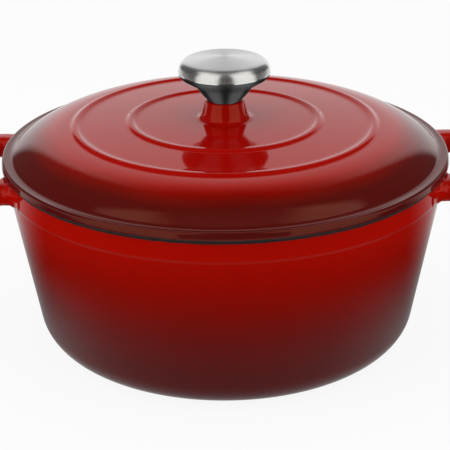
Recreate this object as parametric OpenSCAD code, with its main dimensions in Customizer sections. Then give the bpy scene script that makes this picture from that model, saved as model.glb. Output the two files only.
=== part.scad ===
// Round cast iron oven with loop handles, a domed lid and a steel knob.
// Millimetres, +Z up. The origin is the centre of the base and the handles lie along X.

/* [Pot] */
// Outside diameter of the rim band
rim_d = 276; // [250:1:300]
// Height from the base to the seat of the lid
pot_h = 118; // [95:1:150]
// Thickness of the wall
wall = 4; // [3:0.1:6]
// Thickness of the floor
floor_t = 4.5; // [3.5:0.1:7]
// Lean of the wall from the vertical, in degrees
wall_lean = 10; // [4:0.5:14]
// Outside radius between the base and the wall
base_round = 27; // [18:1:34]
// Height of the thicker band round the rim
band_h = 12.5; // [10:0.5:18]
// Height of the slope between the band and the wall
step_h = 2; // [1:0.25:4]
// How far the band stands out from the wall
band_step = 1.6; // [0.8:0.1:3]
// Rounding of the rim's top edges
rim_round = 1.1; // [0.6:0.1:1.8]
// Rounding of the two edges of the slope under the band
step_round = 1; // [0.4:0.1:1.5]
// Rounding between the upright mouth and the leaning wall inside
mouth_round = 12; // [6:1:20]
// Width of the ring that the pot stands on
stand_w = 14; // [8:1:25]
// Depth of the recess inside that ring
stand_lift = 0.8; // [0.4:0.1:1.5]

/* [Handles] */
// Distance between the two arms of a handle, centre to centre
arm_pitch = 81; // [66:1:100]
// Reach of a handle out from the rim band
loop_reach = 37; // [32:1:50]
// Width of the grip seen from above
grip_w = 14; // [10:0.5:17]
// Thickness of the grip from top to bottom
grip_h = 12; // [9:0.5:14]
// Rounding of the grip's edges
grip_round = 4; // [2:0.25:4.5]
// Depth of the grip's top below the seat of the lid
grip_drop = 3; // [2:0.25:6]
// Radius of the loop's corners along the middle of the grip
loop_round = 16; // [12:0.5:20]
// Radius of the hollow between a handle's arm and the band
root_round = 9; // [5:0.5:11]
// Radius of the hollow under a handle's arm
root_under = 5; // [2:0.5:7]
// Radius of the hollow over a handle's arm
root_over = 1.6; // [0.8:0.2:1.8]
// How far a handle's arm is buried past its hollows
root_bury = 1; // [0.5:0.5:3]

/* [Lid] */
// How far the lid's edge stands out past the rim band
lid_overhang = 2; // [0.5:0.25:4]
// Height of the lid's edge
edge_h = 6.2; // [4.5:0.1:8]
// Rounding of the edge's top
edge_round = 1.5; // [0.8:0.1:2.4]
// Rounding of the edge's foot
edge_foot = 0.9; // [0.5:0.1:1.6]
// Width of the flat ledge inside the edge
ledge_w = 5.5; // [4:0.25:9]
// Radius of the hollow between the ledge and the shoulder
ledge_round = 2.5; // [1.5:0.25:4]
// Slope of the shoulder at its foot, in degrees
shoulder_slope = 38.5; // [32:0.5:42]
// Radius of the shoulder
shoulder_round = 60; // [46:1:68]
// Height of the crown above the seat
crown_h = 24.6; // [23:0.2:34]
// Thickness of the lid
lid_t = 4; // [3:0.1:5]
// Depth of the locating lip below the seat
lip_h = 4.5; // [3:0.5:8]
// Thickness of the locating lip
lip_t = 4; // [3.5:0.25:6]
// Rounding of the lip's edges
lip_round = 1.5; // [0.8:0.1:1.7]
// Clearance between the lip and the pot, all round
lip_gap = 1; // [0.5:0.1:2]

/* [Rings] */
// Height of the raised rings
ring_h = 1.4; // [0.8:0.1:2.5]
// Width of the raised rings
ring_w = 7; // [5:0.5:10]
// Distance from the ledge in to the outer ring
ring_inset = 40.5; // [36:0.5:50]
// Distance from the outer ring in to the inner ring
ring_pitch = 35; // [25:0.5:45]

/* [Boss] */
// Height of the boss above the crown
boss_h = 10; // [7:0.5:14]
// Diameter of the boss at the top
boss_top_d = 24.6; // [22:0.2:30]
// Diameter of the boss at the foot
boss_foot_d = 28; // [26:0.2:36]
// Radius of the hollow round the boss's foot
boss_fillet = 3; // [1.5:0.25:5]
// Rounding of the boss's top edge
boss_edge = 1.2; // [0.6:0.1:2]

/* [Knob] */
// Widest diameter of the knob
knob_d = 56; // [50:1:66]
// Height of the domed cap above the widest line
cap_h = 10.2; // [9:0.2:14]
// Radius of the cap's edge
cap_round = 7.5; // [5:0.25:8.5]
// Height of the bowl below the widest line
bowl_h = 8.4; // [7:0.2:11]
// Radius of the bowl's edge
bowl_round = 5; // [3.5:0.25:6]
// Thickness of the cap's and the bowl's sheet
sheet_t = 1; // [0.6:0.1:1.5]
// Height of the neck
neck_h = 10.2; // [9:0.2:16]
// Diameter of the neck where the bowl sits
neck_top_d = 39; // [34:0.5:42]
// Diameter of the neck at the gasket
neck_foot_d = 20.4; // [18:0.2:22]
// How far the neck's flare hollows in from a straight cone
neck_bow = 0.6; // [0.1:0.1:1.2]
// Diameter of the spigot that holds the bowl
spigot_d = 12; // [11:0.5:16]
// Width of the collar swaged over the bowl
collar_w = 1.6; // [1:0.1:2.5]
// Thickness of that collar
collar_t = 1.2; // [0.8:0.1:1.8]
// Thickness of the gasket
gasket_t = 0.8; // [0.5:0.1:1.5]
// How far the gasket's edge stays inside the neck's foot
gasket_inset = 0.4; // [0.2:0.1:1]

/* [Screw] */
// Diameter of the screw
screw_d = 6; // [5:0.5:7]
// Clearance round the screw in the lid, the gasket and the washers
screw_gap = 0.3; // [0.15:0.05:0.5]
// Clearance round the screw in the neck
thread_gap = 0.1; // [0.05:0.05:0.15]
// Length of the screw inside the neck
thread_len = 8; // [6:0.5:8.5]
// Depth of the neck's hole past the screw's end
thread_end = 1.5; // [1:0.25:2]
// Diameter of the screw's head
head_d = 12; // [10:0.5:14]
// Height of the screw's head
head_h = 3.6; // [3:0.2:5]
// Rounding of the head's edge
head_round = 1.6; // [0.8:0.1:2]
// Length of the cross in the head
cross_l = 6.4; // [5:0.2:8]
// Width of the cross's slots
cross_w = 1.4; // [1:0.1:2]
// Depth of the cross
cross_h = 1.8; // [1:0.1:2.4]
// Diameter of the flat washer
washer_d = 14; // [12:0.5:16]
// Thickness of the flat washer
washer_t = 1.6; // [1:0.1:2.5]
// Diameter of the spring washer
spring_d = 11; // [9.5:0.5:12]
// Thickness of the spring washer
spring_t = 1.6; // [1.2:0.1:2.5]
// Width of the spring washer's split
split_w = 1; // [0.5:0.1:2]
// Clearance round the flat washer in the recess under the lid
recess_gap = 2; // [1:0.25:3]
// Depth of the recess past the screw's head
recess_cover = 0.2; // [0:0.1:1]

/* [Hidden] */
$fn = 96;

ENAMEL = [0.60, 0.02, 0.01];
STEEL = [0.72, 0.72, 0.71];
POLISHED = [0.80, 0.80, 0.80];
ZINC = [0.66, 0.67, 0.68];
FIBRE = [0.12, 0.11, 0.10];

arc_step = 10;    // largest turn between two points of a rounded corner, in degrees
grip_step = 18;   // the same on the grip's edges
side_step = 6;    // the same on the side of a dome
ring_steps = 10;  // steps across a raised ring
flare_steps = 8;  // steps down the neck's flare
bowl_steps = 6;   // steps round the bowl's edge
root_steps = 10;  // steps along the flared end of an arm
run_step = 16;    // largest distance between two points of a gentle curve

// Pot: radii and heights that follow from the driving sizes
rim_r = rim_d / 2;
wall_r = rim_r - band_step;
mouth_r = wall_r - wall / cos(wall_lean);
band_z = pot_h - band_h;
step_z = band_z - step_h;
foot_r = wall_r - step_z * tan(wall_lean);
floor_r = mouth_r - (step_z - floor_t) * tan(wall_lean);
stand_r = foot_r - base_round * tan((90 - wall_lean) / 2) - stand_w;
core_r = (mouth_r + wall_r) / 2;

// Handles: the plan of one loop's centre line, arms along X and a bar round the pot's axis
arm_y = arm_pitch / 2;
bar_r = rim_r + loop_reach - grip_w / 2;
turn_y = arm_y - loop_round;
turn_x = sqrt(pow(bar_r - loop_round, 2) - pow(turn_y, 2));
bar_half = atan2(turn_y, turn_x);
grip_z = pot_h - grip_drop - grip_h / 2;
arm_in = arm_y - grip_w / 2;
arm_out = arm_y + grip_w / 2;
root_in_x = sqrt(pow(rim_r + root_round, 2) - pow(arm_in - root_round, 2));
root_out_x = sqrt(pow(rim_r + root_round, 2) - pow(arm_out + root_round, 2));
root_under_x = sqrt(pow(wall_r + root_under, 2) - pow(arm_y, 2));
root_over_x = sqrt(pow(rim_r + root_over, 2) - pow(arm_y, 2));
root_end_x = sqrt(pow(core_r, 2) - pow(arm_out + root_round, 2)) - root_bury;

// Lid: heights are above the seat
lid_r = rim_r + lid_overhang;
ledge_r = lid_r - ledge_w;
lip_r = mouth_r - lip_gap;
lip_in_r = lip_r - lip_t;
foot_run = 2.2 * ledge_round * tan(shoulder_slope / 2);  // straight enough for the hollow
shoulder_foot = [ledge_r - foot_run * cos(shoulder_slope), edge_h + foot_run * sin(shoulder_slope)];
shoulder_c = shoulder_foot - shoulder_round * [sin(shoulder_slope), cos(shoulder_slope)];
crown_r = crown_radius(crown_h, shoulder_c, shoulder_round);
crown_turn = crown_angle(crown_h, shoulder_c, shoulder_round);
crown_end_r = crown_r * sin(crown_turn);
lip_turn = asin((lip_in_r - shoulder_c.x) / (shoulder_round - lid_t));
outer_ring_r = ledge_r - ring_inset;
inner_ring_r = outer_ring_r - ring_pitch;
rings = [inner_ring_r, outer_ring_r];

// Knob and screw: heights above the base
boss_z = pot_h + crown_h + boss_h;
neck_z = boss_z + gasket_t;
bowl_z = neck_z + neck_h;
widest_z = bowl_z + bowl_h;
knob_r = knob_d / 2;
recess_z = pot_h + crown_h - lid_t + washer_t + spring_t + head_h + recess_cover;
head_z = recess_z - washer_t - spring_t - head_h;
screw_hole_d = screw_d + 2 * screw_gap;

// Radius of the crown arc that meets a side arc smoothly and tops out at height h on the axis
function crown_radius(h, side, r) =
    (r * r - side.x * side.x - pow(side.y - h, 2)) / (2 * (side.y - h + r));

// Angle from the axis at which the crown arc turns into the side arc
function crown_angle(h, side, r) =
    atan2(side.x, side.y - h + crown_radius(h, side, r));

// A crown arc and a side arc that ends at angle last, both moved in by inset, from the axis out
function dome_curve(h, side, r, last, inset = 0) =
    let (big = crown_radius(h, side, r), turn = crown_angle(h, side, r),
         crown_n = ceil(big * sin(turn) / run_step) + 1, side_n = ceil((last - turn) / side_step))
    concat([for (i = [0:crown_n]) let (a = turn * i / crown_n)
                [(big - inset) * sin(a), h - big + (big - inset) * cos(a)]],
           [for (i = [1:side_n]) let (a = turn + (last - turn) * i / side_n)
                side + (r - inset) * [sin(a), cos(a)]]);

function unit(v) = v / norm(v);

// Points of an arc of radius r in the corner at b, tangent to the sides towards a and c
function corner(a, b, c, r, step) =
    let (u = unit(a - b), v = unit(c - b),
         half = acos(u * v) / 2,
         reach = min(r / tan(half), 0.49 * min(norm(a - b), norm(c - b))),
         mid = b + unit(u + v) * reach / cos(half),
         from = b + u * reach - mid,
         to = b + v * reach - mid,
         turn = atan2(from.x * to.y - from.y * to.x, from * to),
         n = max(2, ceil(abs(turn) / step)))
    [for (i = [0:n]) let (a = turn * i / n)
        mid + [from.x * cos(a) - from.y * sin(a), from.x * sin(a) + from.y * cos(a)]];

// A closed outline from corners [x, y] or [x, y, radius]
function rounded(points, step = arc_step) =
    let (n = len(points), flat = [for (p = points) [p.x, p.y]])
    [for (i = [0:n - 1]) each
        len(points[i]) < 3 ? [flat[i]]
        : corner(flat[(i + n - 1) % n], flat[i], flat[(i + 1) % n], points[i][2], step)];

// Points moved up by dz
function lifted(points, dz) = [for (p = points) [for (i = [0:len(p) - 1]) i == 1 ? p[i] + dz : p[i]]];

// Same list from its far end
function reversed(list) = [for (i = [len(list) - 1:-1:0]) list[i]];

// Height of the lid's crown at radius r, with the raised rings on it
function crown_z(r) = crown_h - crown_r + sqrt(crown_r * crown_r - r * r) + ring_rise(r, 0);
function ring_rise(r, i) =
    i == len(rings) ? 0
    : ring_h * (1 + cos(180 * min(1, abs(r - rings[i]) / (ring_w / 2)))) / 2 + ring_rise(r, i + 1);

// Points on the crown from radius a to radius b
function crown_run(a, b) =
    let (n = ceil((b - a) / run_step)) [for (i = [1:n - 1]) let (r = a + (b - a) * i / n) [r, crown_z(r)]];
function ring_run(r) =
    [for (i = [0:ring_steps]) let (x = r + ring_w * (i / ring_steps - 1 / 2)) [x, crown_z(x)]];

// One solid of revolution from a half outline
module turned(points) {
    rotate_extrude() polygon(points);
}

// Outline of the grip, centred, with lo and hi the extra width and drop and rise the extra height
function grip_outline(lo = 0, hi = 0, drop = 0, rise = 0) = rounded([
    [-grip_w / 2 - lo, -grip_h / 2 - drop, grip_round],
    [grip_w / 2 + hi, -grip_h / 2 - drop, grip_round],
    [grip_w / 2 + hi, grip_h / 2 + rise, grip_round],
    [-grip_w / 2 - lo, grip_h / 2 + rise, grip_round]], grip_step);

// How far a hollow of radius r has spread at x, when it starts at start and grows towards the pot
function spread(x, start, r) =
    x >= start ? 0 : x <= start - r ? r : r - sqrt(r * r - pow(start - x, 2));

// A solid through a row of rings, each ring a list of points with the same count
module lofted(rows) {
    n = len(rows[0]);
    last = len(rows) - 1;
    sides = [for (i = [0:last - 1], j = [0:n - 1])
        let (a = i * n + j, b = i * n + (j + 1) % n) each [[a, b, a + n], [b, b + n, a + n]]];
    ends = [[for (j = [n - 1:-1:0]) j], [for (j = [0:n - 1]) last * n + j]];
    polyhedron(points = [for (row = rows) each row], faces = concat(sides, ends));
}

// The flared end of one arm, from the straight arm into the wall
module arm_root() {
    lofted([for (i = [0:root_steps])
        let (x = root_in_x + (root_end_x - root_in_x) * i / root_steps,
             outline = grip_outline(lo = spread(x, root_in_x, root_round),
                                    hi = spread(x, root_out_x, root_round),
                                    drop = spread(x, root_under_x, root_under),
                                    rise = spread(x, root_over_x, root_over)))
        [for (p = outline) [x, arm_y + p.x, grip_z + p.y]]]);
}

// Half of one handle: the root, the straight arm and the corner
module half_loop() {
    arm_root();
    translate([root_in_x, arm_y, grip_z]) rotate([90, 0, 90])
        linear_extrude(turn_x - root_in_x) polygon(grip_outline());
    translate([turn_x, turn_y, grip_z]) rotate([0, 0, bar_half])
        rotate_extrude(angle = 90 - bar_half) translate([loop_round, 0]) polygon(grip_outline());
}

// One handle on the +X side, cut off inside the wall
module loop_handle() {
    difference() {
        union() {
            half_loop();
            mirror([0, 1, 0]) half_loop();
            translate([0, 0, grip_z]) rotate([0, 0, -bar_half])
                rotate_extrude(angle = 2 * bar_half) translate([bar_r, 0]) polygon(grip_outline());
        }
        cylinder(h = pot_h, r = core_r);
    }
}

module pot() {
    color(ENAMEL) {
        turned(rounded([
            [0, stand_lift],
            [stand_r, stand_lift],
            [stand_r + stand_lift, 0],
            [foot_r, 0, base_round],
            [wall_r, step_z, step_round],
            [rim_r, band_z, step_round],
            [rim_r, pot_h, rim_round],
            [mouth_r, pot_h, rim_round],
            [mouth_r, step_z, mouth_round],
            [floor_r, floor_t, base_round - wall],
            [0, floor_t]]));
        loop_handle();
        mirror([1, 0, 0]) loop_handle();
    }
}

// The lid's top from the axis to the shoulder's foot
function lid_top() = concat(
    [[0, crown_h + boss_h],
     [boss_top_d / 2, crown_h + boss_h, boss_edge],
     [boss_foot_d / 2, crown_z(boss_foot_d / 2), boss_fillet]],
    crown_run(boss_foot_d / 2, inner_ring_r - ring_w / 2), ring_run(inner_ring_r),
    crown_run(inner_ring_r + ring_w / 2, outer_ring_r - ring_w / 2), ring_run(outer_ring_r),
    [for (p = dome_curve(crown_h, shoulder_c, shoulder_round, shoulder_slope))
        if (p.x > crown_end_r - 0.01) p]);

// The lid's edge and locating lip, from the ledge round to the underside
function lid_edge() = [
    [ledge_r, edge_h, ledge_round],
    [lid_r, edge_h, edge_round],
    [lid_r, 0, edge_foot],
    [lip_r, 0],
    [lip_r, -lip_h, lip_round],
    [lip_in_r, -lip_h, lip_round]];

module lid() {
    underside = dome_curve(crown_h, shoulder_c, shoulder_round, lip_turn, lid_t);
    color(ENAMEL) difference() {
        turned(rounded(lifted(concat(lid_top(), lid_edge(), reversed(underside)), pot_h)));
        translate([0, 0, pot_h]) cylinder(h = crown_h + boss_h + 1, d = screw_hole_d);
        translate([0, 0, pot_h]) cylinder(h = recess_z - pot_h, d = washer_d + 2 * recess_gap);
    }
}

module knob_gasket() {
    color(FIBRE) translate([0, 0, boss_z]) difference() {
        cylinder(h = gasket_t, d = neck_foot_d - 2 * gasket_inset);
        translate([0, 0, -1]) cylinder(h = gasket_t + 2, d = screw_hole_d);
    }
}

// Turned neck: a hollow flare, a spigot and the collar swaged over the bowl
module knob_neck() {
    foot = [neck_foot_d / 2, neck_z];
    top = [neck_top_d / 2, bowl_z];
    along = unit(top - foot);
    flare = [for (i = [0:flare_steps]) let (t = i / flare_steps)
        foot + (top - foot) * t + 4 * neck_bow * t * (1 - t) * [-along.y, along.x]];
    collar_z = bowl_z + sheet_t;
    color(STEEL) difference() {
        turned(concat([[0, neck_z]], flare, [
            [spigot_d / 2, bowl_z],
            [spigot_d / 2, collar_z],
            [spigot_d / 2 + collar_w, collar_z],
            [spigot_d / 2 + collar_w, collar_z + collar_t],
            [0, collar_z + collar_t]]));
        translate([0, 0, neck_z - 1])
            cylinder(h = thread_len + thread_end + 1, d = screw_d + 2 * thread_gap);
    }
}

// The bowl's outline from the widest line down to the neck, moved in by inset
function bowl_curve(inset) =
    let (mid = [knob_r - bowl_round, widest_z], low = [neck_top_d / 2, bowl_z],
         slope = atan2(mid.y - low.y, mid.x - low.x) - asin(bowl_round / norm(mid - low)))
    concat([for (i = [0:bowl_steps]) let (a = (slope - 90) * i / bowl_steps)
                mid + (bowl_round - inset) * [cos(a), sin(a)]],
           [[low.x - inset * sin(slope) + inset * (1 - cos(slope)) / tan(slope), low.y + inset]]);

module knob_bowl() {
    color(POLISHED) turned(concat(
        bowl_curve(0),
        [[spigot_d / 2, bowl_z], [spigot_d / 2, bowl_z + sheet_t]],
        reversed(bowl_curve(sheet_t))));
}

module knob_cap() {
    side = [knob_r - cap_round, 0];
    outer = dome_curve(cap_h, side, cap_round, 90);
    inner = dome_curve(cap_h, side, cap_round, 90, sheet_t);
    color(STEEL) turned(lifted(concat(outer, reversed(inner)), widest_z));
}

module flat_washer() {
    color(ZINC) translate([0, 0, recess_z - washer_t]) difference() {
        cylinder(h = washer_t, d = washer_d);
        translate([0, 0, -1]) cylinder(h = washer_t + 2, d = screw_hole_d);
    }
}

// Split ring with a slanting cut
module spring_washer() {
    color(ZINC) translate([0, 0, head_z + head_h]) difference() {
        cylinder(h = spring_t, d = spring_d);
        translate([0, 0, -1]) cylinder(h = spring_t + 2, d = screw_hole_d);
        translate([0, 0, spring_t / 2]) rotate([20, 0, 0])
            translate([0, -split_w / 2, -spring_t]) cube([spring_d, split_w, 2 * spring_t]);
    }
}

// Pan head screw with a cross in its head
module knob_screw() {
    color(ZINC) difference() {
        union() {
            turned(lifted(rounded([
                [0, 0],
                [head_d / 2, 0, head_round],
                [head_d / 2, head_h],
                [0, head_h]]), head_z));
            translate([0, 0, head_z + head_h])
                cylinder(h = neck_z + thread_len - head_z - head_h, d = screw_d);
        }
        for (turn = [0, 90])
            rotate([0, 0, turn]) translate([-cross_l / 2, -cross_w / 2, head_z - 1])
                cube([cross_l, cross_w, cross_h + 1]);
    }
}

pot();
lid();
knob_neck();
knob_bowl();
knob_cap();
knob_gasket();
knob_screw();
spring_washer();
flat_washer();
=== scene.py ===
"""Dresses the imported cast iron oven: smooth castings, glazes, a steel knob, and a plain studio.

All sizes in the classes are millimetres, and the meshes are built in metres in the frame's own axes.
"""

import logging
import math
from contextlib import contextmanager
from dataclasses import dataclass, replace
from enum import Enum, IntEnum
from functools import reduce
from typing import Callable, Iterator, Optional, Sequence

import bpy
from mathutils import Matrix, Vector


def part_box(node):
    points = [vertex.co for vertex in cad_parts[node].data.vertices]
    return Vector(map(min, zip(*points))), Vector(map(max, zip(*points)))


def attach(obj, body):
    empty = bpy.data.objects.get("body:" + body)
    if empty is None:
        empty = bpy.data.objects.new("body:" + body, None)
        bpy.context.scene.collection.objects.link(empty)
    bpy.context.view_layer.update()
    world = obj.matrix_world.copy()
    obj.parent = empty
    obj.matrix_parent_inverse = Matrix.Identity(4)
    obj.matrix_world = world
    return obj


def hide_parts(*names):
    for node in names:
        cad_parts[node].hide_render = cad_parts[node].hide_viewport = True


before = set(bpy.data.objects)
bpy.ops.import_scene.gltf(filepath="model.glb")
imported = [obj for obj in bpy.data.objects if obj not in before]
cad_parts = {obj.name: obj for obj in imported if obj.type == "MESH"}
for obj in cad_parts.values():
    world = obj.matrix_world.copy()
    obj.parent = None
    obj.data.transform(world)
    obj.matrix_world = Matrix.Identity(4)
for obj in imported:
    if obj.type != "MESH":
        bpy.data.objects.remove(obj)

LOG = logging.getLogger("oven")
MM = 0.001
TURN = 2 * math.pi
QUARTER = math.pi / 2
# A length that counts as none.
HAIR = 1e-6
# The largest angle between two points of an arc, in radians.
ARC_STEP = 0.16
# How much of a side a rounded corner may take up.
LARGEST_REACH = 0.49

Point = tuple[float, float]
Place = Colour = tuple[float, float, float]
Corner = Sequence[float]
Piece = bpy.types.Object
Look = bpy.types.Material
Socket = bpy.types.NodeSocket
Chooser = Callable[[Vector, Vector], int]


class Body(Enum):
    """The two bodies of the record."""

    POT = "pot_body"
    LID = "lid_body"


class Fade(Enum):
    """What a glaze's colour follows on its casting."""

    HEIGHT = "height"
    RADIUS = "radius"


class Zone(IntEnum):
    """The finishes of a casting, in the order in which it holds them."""

    GLAZED = 0
    CREAM = 1
    BARE = 2


class Mixed(Enum):
    """What a Mix node mixes: its name, and the places of its first input and its output."""

    NUMBER = ("FLOAT", 2, 0)
    VECTOR = ("VECTOR", 4, 1)
    COLOUR = ("RGBA", 6, 2)


# Outlines


def turn_point(centre: Point, radius: float, angle: float) -> Point:
    """The point at that angle, in radians from the radial direction, on a circle."""
    return centre[0] + radius * math.cos(angle), centre[1] + radius * math.sin(angle)


def chord(radius: float, y: float) -> float:
    """How far a circle round the axis reaches along X at that Y."""
    return math.sqrt(radius ** 2 - y ** 2)


def spaced(start: float, end: float, count: int) -> list[float]:
    """The ends of count equal steps from start to end, both included."""
    return [start + (end - start) * i / count for i in range(count + 1)]


def sweep(centre: Point, radius: float, start: float, end: float, step: float) -> list[Point]:
    """Points along an arc between two angles in radians, both included, at most step apart."""
    count = max(3, math.ceil(abs(end - start) * radius / step), math.ceil(abs(end - start) / ARC_STEP))
    return [turn_point(centre, radius, angle) for angle in spaced(start, end, count)]


def run(start: Point, end: Point, step: float) -> list[Point]:
    """Points along a straight line, without its two ends."""
    count = max(1, math.ceil(math.dist(start, end) / step))
    return list(zip(spaced(start[0], end[0], count), spaced(start[1], end[1], count)))[1:-1]


def rounded(corners: Sequence[Corner], step: float) -> list[Point]:
    """An open outline with its corners rounded and its long sides divided.

    Args:
        corners: each a radius and a height, and for a rounded one the rounding.
        step: the largest distance between two points.

    Returns:
        The outline's points in order.
    """
    flat = [Vector((c[0], c[1])) for c in corners]
    parts: list[list[Point]] = []
    for i, corner in enumerate(corners):
        here = flat[i]
        if len(corner) < 3 or i in (0, len(corners) - 1):
            parts.append([tuple(here)])
            continue
        before, after = flat[i - 1], flat[i + 1]
        u, v = (before - here).normalized(), (after - here).normalized()
        half = math.acos(max(-1.0, min(1.0, u.dot(v)))) / 2
        shorter = min((before - here).length, (after - here).length)
        reach = min(corner[2] / math.tan(half), LARGEST_REACH * shorter)
        radius = reach * math.tan(half)
        mid = here + (u + v).normalized() * reach / math.cos(half)
        first, last = here + u * reach - mid, here + v * reach - mid
        start = math.atan2(first.y, first.x)
        turn = math.atan2(first.x * last.y - first.y * last.x, first.dot(last))
        parts.append(sweep(tuple(mid), radius, start, start + turn, step / 2))
    points = list(parts[0])
    for part, following in zip(parts, parts[1:]):
        points += run(part[-1], following[0], step) + following
    return points


@dataclass(frozen=True)
class Dome:
    """A crown arc that turns smoothly into a tighter side arc, in millimetres."""

    top: float
    side: Point
    radius: float

    @property
    def crown(self) -> float:
        """Radius of the crown arc."""
        x, z = self.side
        return (self.radius ** 2 - x ** 2 - (z - self.top) ** 2) / (2 * (z - self.top + self.radius))

    @property
    def turn(self) -> float:
        """Angle from the axis at which the crown turns into the side."""
        return math.atan2(self.side[0], self.side[1] - self.top + self.crown)

    def height(self, radius: float, inset: float = 0) -> float:
        """Height of the crown arc at a radius, moved in by inset."""
        return self.top - self.crown + chord(self.crown - inset, radius)

    def crown_points(self, start: float, end: float, step: float, inset: float = 0) -> list[Point]:
        """Points on the crown arc from radius start to radius end, both included."""
        count = max(1, math.ceil(abs(end - start) / step))
        return [(r, self.height(r, inset)) for r in spaced(start, end, count)]

    def side_points(self, last: float, step: float, inset: float = 0) -> list[Point]:
        """Points on the side arc from its start to the angle last, in radians from the axis."""
        return sweep(self.side, self.radius - inset, QUARTER - self.turn, QUARTER - last, step)


# Modelling


def deselect() -> None:
    """Leaves nothing selected."""
    if bpy.context.object and bpy.context.object.mode != "OBJECT":
        bpy.ops.object.mode_set(mode="OBJECT")
    bpy.ops.object.select_all(action="DESELECT")


def make_active(piece: Piece) -> None:
    """Selects one object alone.

    Args:
        piece: the object to work on.
    """
    deselect()
    piece.select_set(True)
    bpy.context.view_layer.objects.active = piece


def started(name: str, add: Callable[..., object], **settings: object) -> Piece:
    """Adds a primitive that a piece starts from, and names it.

    Args:
        name: the piece's name.
        add: the operator that adds the primitive.
        settings: what the operator is given.

    Returns:
        The new object, selected and active.
    """
    deselect()
    add(**settings)
    piece = bpy.context.object
    piece.name = piece.data.name = name
    return piece


@contextmanager
def editing(piece: Piece) -> Iterator[None]:
    """Opens a piece in edit mode with its whole mesh selected, and closes it afterwards.

    Args:
        piece: the piece to open.

    Returns:
        A context in which the piece is open.
    """
    make_active(piece)
    bpy.ops.object.mode_set(mode="EDIT")
    select_all()
    yield
    bpy.ops.object.mode_set(mode="OBJECT")


def select_all() -> None:
    """In edit mode, selects the whole mesh."""
    bpy.ops.mesh.select_all(action="SELECT")


def select_where(piece: Piece, kind: str, chosen: Callable[[bpy.types.bpy_struct], bool]) -> None:
    """In edit mode, selects some vertices or polygons and nothing else.

    Args:
        piece: the piece that is open.
        kind: vertices or polygons.
        chosen: tells whether one of them is selected.
    """
    bpy.ops.mesh.select_all(action="DESELECT")
    bpy.ops.object.mode_set(mode="OBJECT")
    for element in getattr(piece.data, kind):
        element.select = chosen(element)
    bpy.ops.object.mode_set(mode="EDIT")


def face_outwards() -> None:
    """In edit mode, turns every face outwards."""
    select_all()
    bpy.ops.mesh.normals_make_consistent(inside=False)


def move(x: float, y: float, z: float) -> None:
    """In edit mode, moves what is selected, in millimetres."""
    bpy.ops.transform.translate(value=(x * MM, y * MM, z * MM))


def extrude(x: float, y: float, z: float) -> None:
    """In edit mode, extrudes what is selected, in millimetres."""
    bpy.ops.mesh.extrude_region_move(TRANSFORM_OT_translate={"value": (x * MM, y * MM, z * MM)})


def resize(x: float, y: float, z: float, about: Place = (0, 0, 0)) -> None:
    """In edit mode, scales what is selected about a place in millimetres."""
    bpy.ops.transform.resize(value=(x, y, z), center_override=[length * MM for length in about])


def modify(piece: Piece, kind: str, **settings: object) -> None:
    """Adds a modifier with its settings to a piece, and applies it.

    Args:
        piece: the piece that is changed.
        kind: the modifier's type.
        settings: the modifier's own properties.
    """
    modifier = piece.modifiers.new(kind.lower(), kind)
    for key, value in settings.items():
        setattr(modifier, key, value)
    make_active(piece)
    bpy.ops.object.modifier_apply(modifier=modifier.name)


def turned(name: str, outline: Sequence[Point], steps: int) -> Piece:
    """Turns a half outline into a solid of revolution about the Z axis.

    Args:
        name: the new piece's name.
        outline: radius and height of each point, in millimetres. It may start and end on the axis.
        steps: the number of segments round the axis.

    Returns:
        The new piece, at the origin, with its place in its mesh.
    """
    first, last = outline[0], outline[-1]
    if min(first[0], last[0]) > HAIR and math.dist(first, last) > HAIR:
        outline = [*outline, first]
    piece = started(name, bpy.ops.mesh.primitive_plane_add, size=MM)
    with editing(piece):
        bpy.ops.mesh.merge(type="CENTER")
        move(first[0], 0, first[1])
        for here, there in zip(outline, outline[1:]):
            extrude(there[0] - here[0], 0, there[1] - here[1])
        select_all()
        bpy.ops.mesh.spin(steps=steps, angle=TURN, center=(0, 0, 0), axis=(0, 0, 1))
        select_all()
        bpy.ops.mesh.remove_doubles(threshold=2e-6)
        face_outwards()
    return piece


def cut(piece: Piece, tool: Piece) -> None:
    """Cuts a tool out of a piece, and removes the tool."""
    modify(piece, "BOOLEAN", operation="DIFFERENCE", solver="EXACT", object=tool)
    bpy.data.objects.remove(tool)


def rod(radius: float, low: float, high: float, steps: int) -> Piece:
    """A plain round tool about the Z axis, for cutting. Sizes are millimetres.

    Args:
        radius: its radius.
        low: the height of its foot.
        high: the height of its top.
        steps: the number of its sides.

    Returns:
        The tool.
    """
    tool = started("rod", bpy.ops.mesh.primitive_cylinder_add, vertices=steps, radius=radius * MM,
                   depth=(high - low) * MM, location=(0, 0, (high + low) / 2 * MM))
    bpy.ops.object.transform_apply(location=True, rotation=True, scale=True)
    return tool


def dress(piece: Piece, looks: Sequence[Look], choose: Optional[Chooser] = None) -> None:
    """Gives a piece its materials, each face by its centre and normal.

    Args:
        piece: the piece.
        looks: the finishes it can show.
        choose: returns the index of a face's material from its centre, in millimetres, and its normal.
    """
    piece.data.materials.clear()
    for look in looks:
        piece.data.materials.append(look)
    if choose:
        for polygon in piece.data.polygons:
            polygon.material_index = choose(polygon.center / MM, polygon.normal)


def mount(piece: Piece, body: Body, node: str, angle: float = 32) -> None:
    """Shades a piece and makes it ride on its body, in place of its CAD node.

    Args:
        piece: the finished and dressed piece.
        body: the body that carries it.
        node: the CAD node that it stands for.
        angle: edges sharper than this, in degrees, stay sharp.
    """
    make_active(piece)
    bpy.ops.object.shade_smooth_by_angle(angle=math.radians(angle))
    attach(piece, body.value)
    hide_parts(node)
    LOG.info("%s rides on %s: %d faces", piece.name, body.value, len(piece.data.polygons))


# Finishes


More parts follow.
